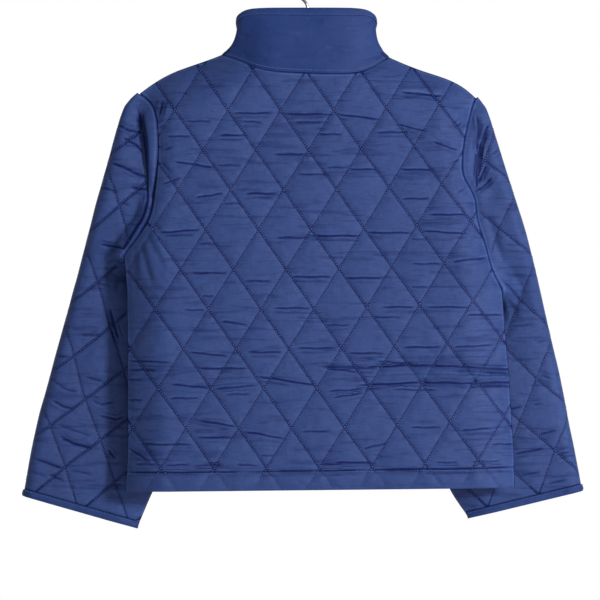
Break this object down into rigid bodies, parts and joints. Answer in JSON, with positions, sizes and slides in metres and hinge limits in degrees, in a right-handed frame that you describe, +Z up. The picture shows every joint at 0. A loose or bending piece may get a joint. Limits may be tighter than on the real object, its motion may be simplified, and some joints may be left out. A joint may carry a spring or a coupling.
{
  "type": "quilted jacket on a hanger",
  "caption": "Child's diamond quilted jacket with a standing collar and a closed front zip, hanging on a wooden hanger with a wire hook.",
  "frame": {"origin": "inside top of the hanger's hook, where a rail or peg carries it", "axes": "+Z up, the jacket's back faces -Y and its zip +Y, +X to the right seen from behind"},
  "size_m": [0.5613, 0.0721, 0.5637],
  "materials": {
    "quilted_cloth": "royal blue woven nylon, lightly shiny, quilted in diamonds",
    "plain_cloth": "royal blue woven nylon, plain and topstitched",
    "zip_tape": "dark blue knitted tape",
    "zip_metal": "nickel plated",
    "hanger_wood": "clear varnished beech",
    "hook_wire": "bright plated wire"
  },
  "bodies": {
    "root": {"back": "quilted_cloth", "front_left": "quilted_cloth", "front_right": "quilted_cloth", "sleeve_left": "quilted_cloth", "sleeve_right": "quilted_cloth", "cuff_binding_left": "plain_cloth", "cuff_binding_right": "plain_cloth", "collar": "plain_cloth", "collar_binding": "plain_cloth", "zip_tape_left": "zip_tape", "zip_tape_right": "zip_tape", "zip_chain": "zip_metal", "zip_slider": "zip_metal", "hanger": "hanger_wood", "hook": "hook_wire"},
    "pull_tab": {"zip_pull": "zip_metal"}
  },
  "joints": [
    {"name": "pull_tab_hinge", "type": "hinge", "parent": "root", "child": "pull_tab", "pos_m": [0, 0.02705, -0.1225], "axis": [1, 0, 0], "range_deg": [0, 150]}
  ]
}
